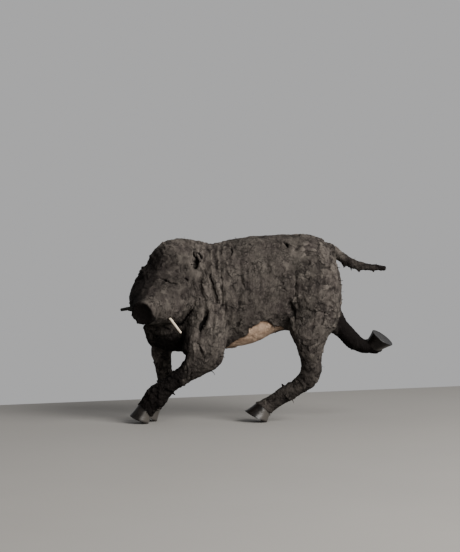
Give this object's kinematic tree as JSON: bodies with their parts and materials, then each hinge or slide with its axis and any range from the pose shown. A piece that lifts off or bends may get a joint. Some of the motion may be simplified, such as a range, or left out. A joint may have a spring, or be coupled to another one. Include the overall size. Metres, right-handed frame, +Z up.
{
  "type": "pig sculpture",
  "caption": "Charging boar sculpture in dark papier-mache, head turned to its left, standing on its heels with one hind leg kicked back.",
  "frame": {"origin": "on the ground, under the middle of the outer box", "axes": "the boar's trunk runs along X and faces -X, its left side and its turned head face -Y, +Z is up"},
  "size_m": [0.3604, 0.1533, 0.2473],
  "materials": {
    "papier_mache": "matte, crumpled, dark grey-brown, with a bare tan patch under the belly",
    "hoof": "smooth, dark, lightly waxed",
    "tusk": "pale, bare"
  },
  "bodies": {
    "root": {"body": "papier_mache", "hoof_fore_left": "hoof", "hoof_fore_right": "hoof", "hoof_hind_left": "hoof", "hoof_hind_right": "hoof", "tusk_left": "tusk", "tusk_right": "tusk"}
  },
  "joints": []
}
